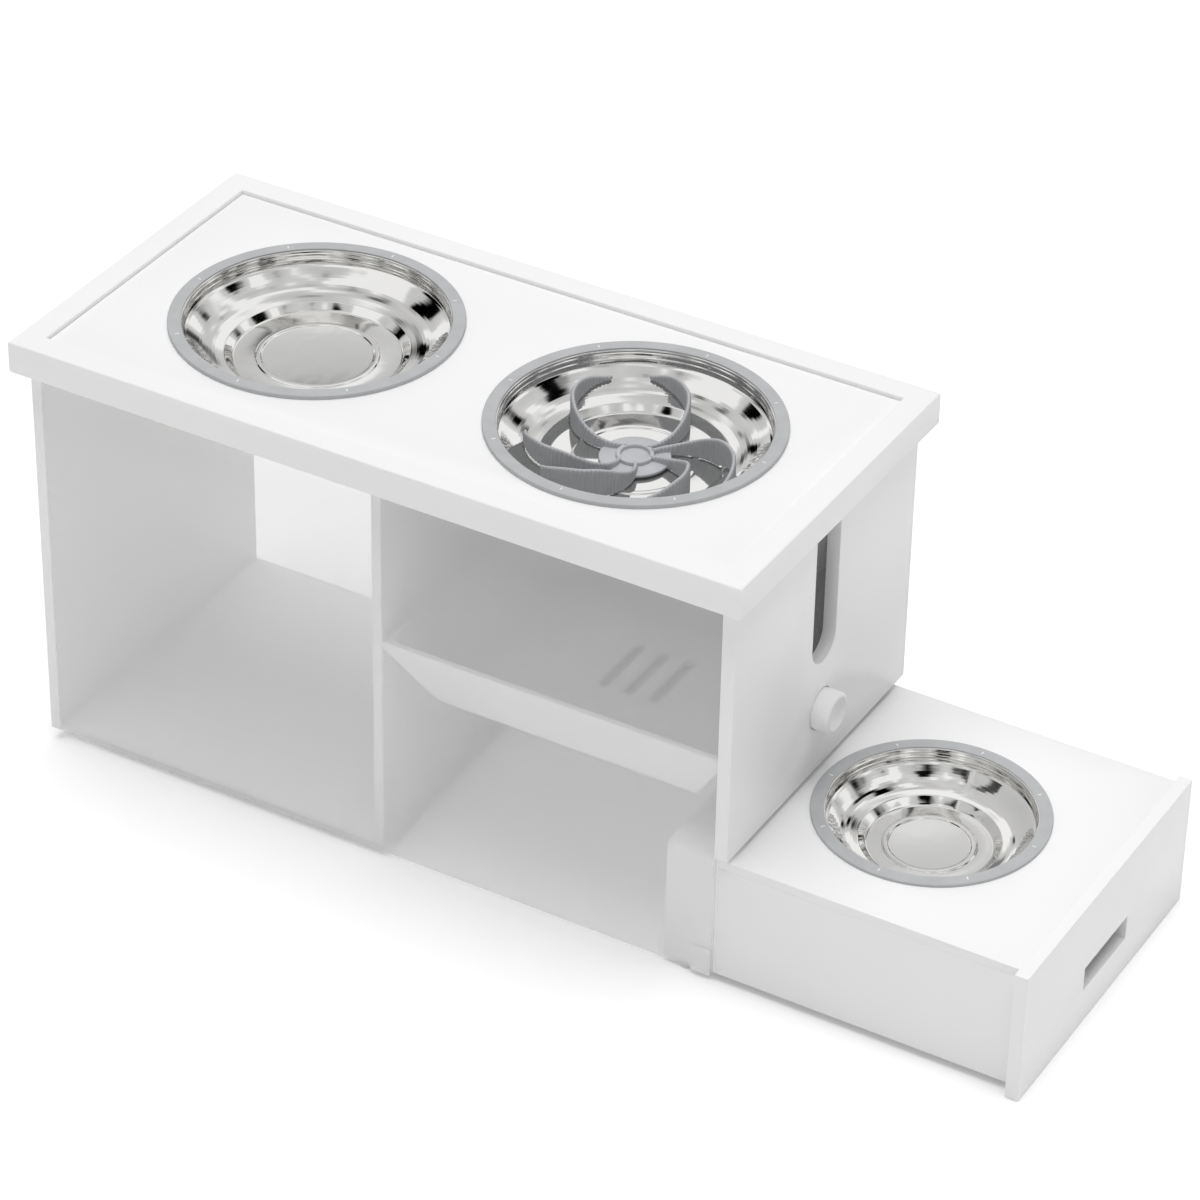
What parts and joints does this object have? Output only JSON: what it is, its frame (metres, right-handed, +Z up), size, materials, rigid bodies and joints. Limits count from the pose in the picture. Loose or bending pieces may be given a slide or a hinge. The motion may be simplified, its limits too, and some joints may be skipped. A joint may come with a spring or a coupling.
{
  "type": "elevated dog feeder",
  "caption": "Elevated dog feeder on a storage cabinet: lift-up lid with steel bowls and a slow feeder insert, food bin with hopper and window, and a pull-out bowl drawer.",
  "frame": {"origin": "on the floor, at the middle of the outline that the feeder covers with its drawer pulled out", "axes": "+X towards the drawer's end, +Y from the see-through front to the rear, +Z up"},
  "size_m": [0.961, 0.34, 0.413],
  "materials": {
    "white_laminate": "smooth satin white laminate",
    "milky_plastic": "translucent, smooth",
    "smoked_plastic": "smoked, clear",
    "polished_steel": "mirror polished stainless steel",
    "steel_hardware": "satin",
    "grey_silicone": "matte silicone",
    "grey_plastic": "matte, finely ribbed",
    "white_plastic": "satin",
    "black_rubber": "matte"
  },
  "bodies": {
    "cabinet": {"left_wall": "white_laminate", "right_wall": "white_laminate", "divider": "white_laminate", "front_panel": "milky_plastic", "bin_back_panel": "white_laminate", "storage_floor": "white_laminate", "store_top_rail": "white_laminate", "bin_top_rail": "white_laminate", "hopper_front_board": "white_laminate", "hopper_rear_board": "white_laminate", "hopper_left_board": "white_laminate", "hopper_right_board": "white_laminate", "hopper_floor": "white_laminate", "window_pane": "smoked_plastic", "window_screws": "steel_hardware", "cabinet_feet": "black_rubber", "bay_strap": "steel_hardware", "strap_feet": "black_rubber", "gate_runner_front": "white_plastic", "gate_runner_rear": "white_plastic", "gate_bridge": "white_plastic", "return_spring": "steel_hardware", "hinge_leaf_left_cabinet": "steel_hardware", "hinge_leaf_right_cabinet": "steel_hardware", "hinge_pin_left": "steel_hardware", "hinge_pin_right": "steel_hardware", "hinge_screws_cabinet": "steel_hardware"},
    "lid": {"rim_front_rail": "white_laminate", "rim_rear_rail": "white_laminate", "rim_left_rail": "white_laminate", "rim_right_rail": "white_laminate", "deck_board": "white_laminate", "hinge_leaf_left_lid": "steel_hardware", "hinge_leaf_right_lid": "steel_hardware", "hinge_screws_lid": "steel_hardware"},
    "left_bowl_set": {"left_bowl": "polished_steel", "left_bowl_ring": "grey_silicone"},
    "right_bowl_set": {"right_bowl": "polished_steel", "right_bowl_ring": "grey_silicone"},
    "slow_feeder": {"slow_feeder_insert": "grey_plastic"},
    "dispenser": {"push_button": "white_plastic", "button_stem": "steel_hardware", "stem_nut": "steel_hardware", "gate_plate": "steel_hardware"},
    "drawer": {"drawer_end_panel": "white_laminate", "drawer_top_board": "white_laminate", "drawer_front_side": "white_laminate", "drawer_rear_side": "white_laminate", "drawer_inner_end": "white_laminate", "drawer_glides": "black_rubber"},
    "small_bowl_set": {"small_bowl": "polished_steel", "small_bowl_ring": "grey_silicone"}
  },
  "joints": [
    {"name": "lid_hinge", "type": "hinge", "parent": "cabinet", "child": "lid", "pos_m": [-0.1305, 0.1591, 0.3804], "axis": [-1, 0, 0], "range_deg": [0, 85]},
    {"name": "left_bowl_lift", "type": "slide", "parent": "lid", "child": "left_bowl_set", "axis": [0, 0, 1], "range_m": [0, 0.09]},
    {"name": "right_bowl_lift", "type": "slide", "parent": "lid", "child": "right_bowl_set", "axis": [0, 0, 1], "range_m": [0, 0.09]},
    {"name": "slow_feeder_lift", "type": "slide", "parent": "right_bowl_set", "child": "slow_feeder", "axis": [0, 0, 1], "range_m": [0, 0.06]},
    {"name": "button_slide", "type": "slide", "parent": "cabinet", "child": "dispenser", "axis": [-1, 0, 0], "range_m": [0, 0.012], "stiffness_N_per_m": 300, "springref_m": -0.01, "deforming": ["return_spring"]},
    {"name": "drawer_slide", "type": "slide", "parent": "cabinet", "child": "drawer", "axis": [1, 0, 0], "range_m": [-0.272, 0]},
    {"name": "small_bowl_lift", "type": "slide", "parent": "drawer", "child": "small_bowl_set", "axis": [0, 0, 1], "range_m": [0, 0.04]}
  ]
}
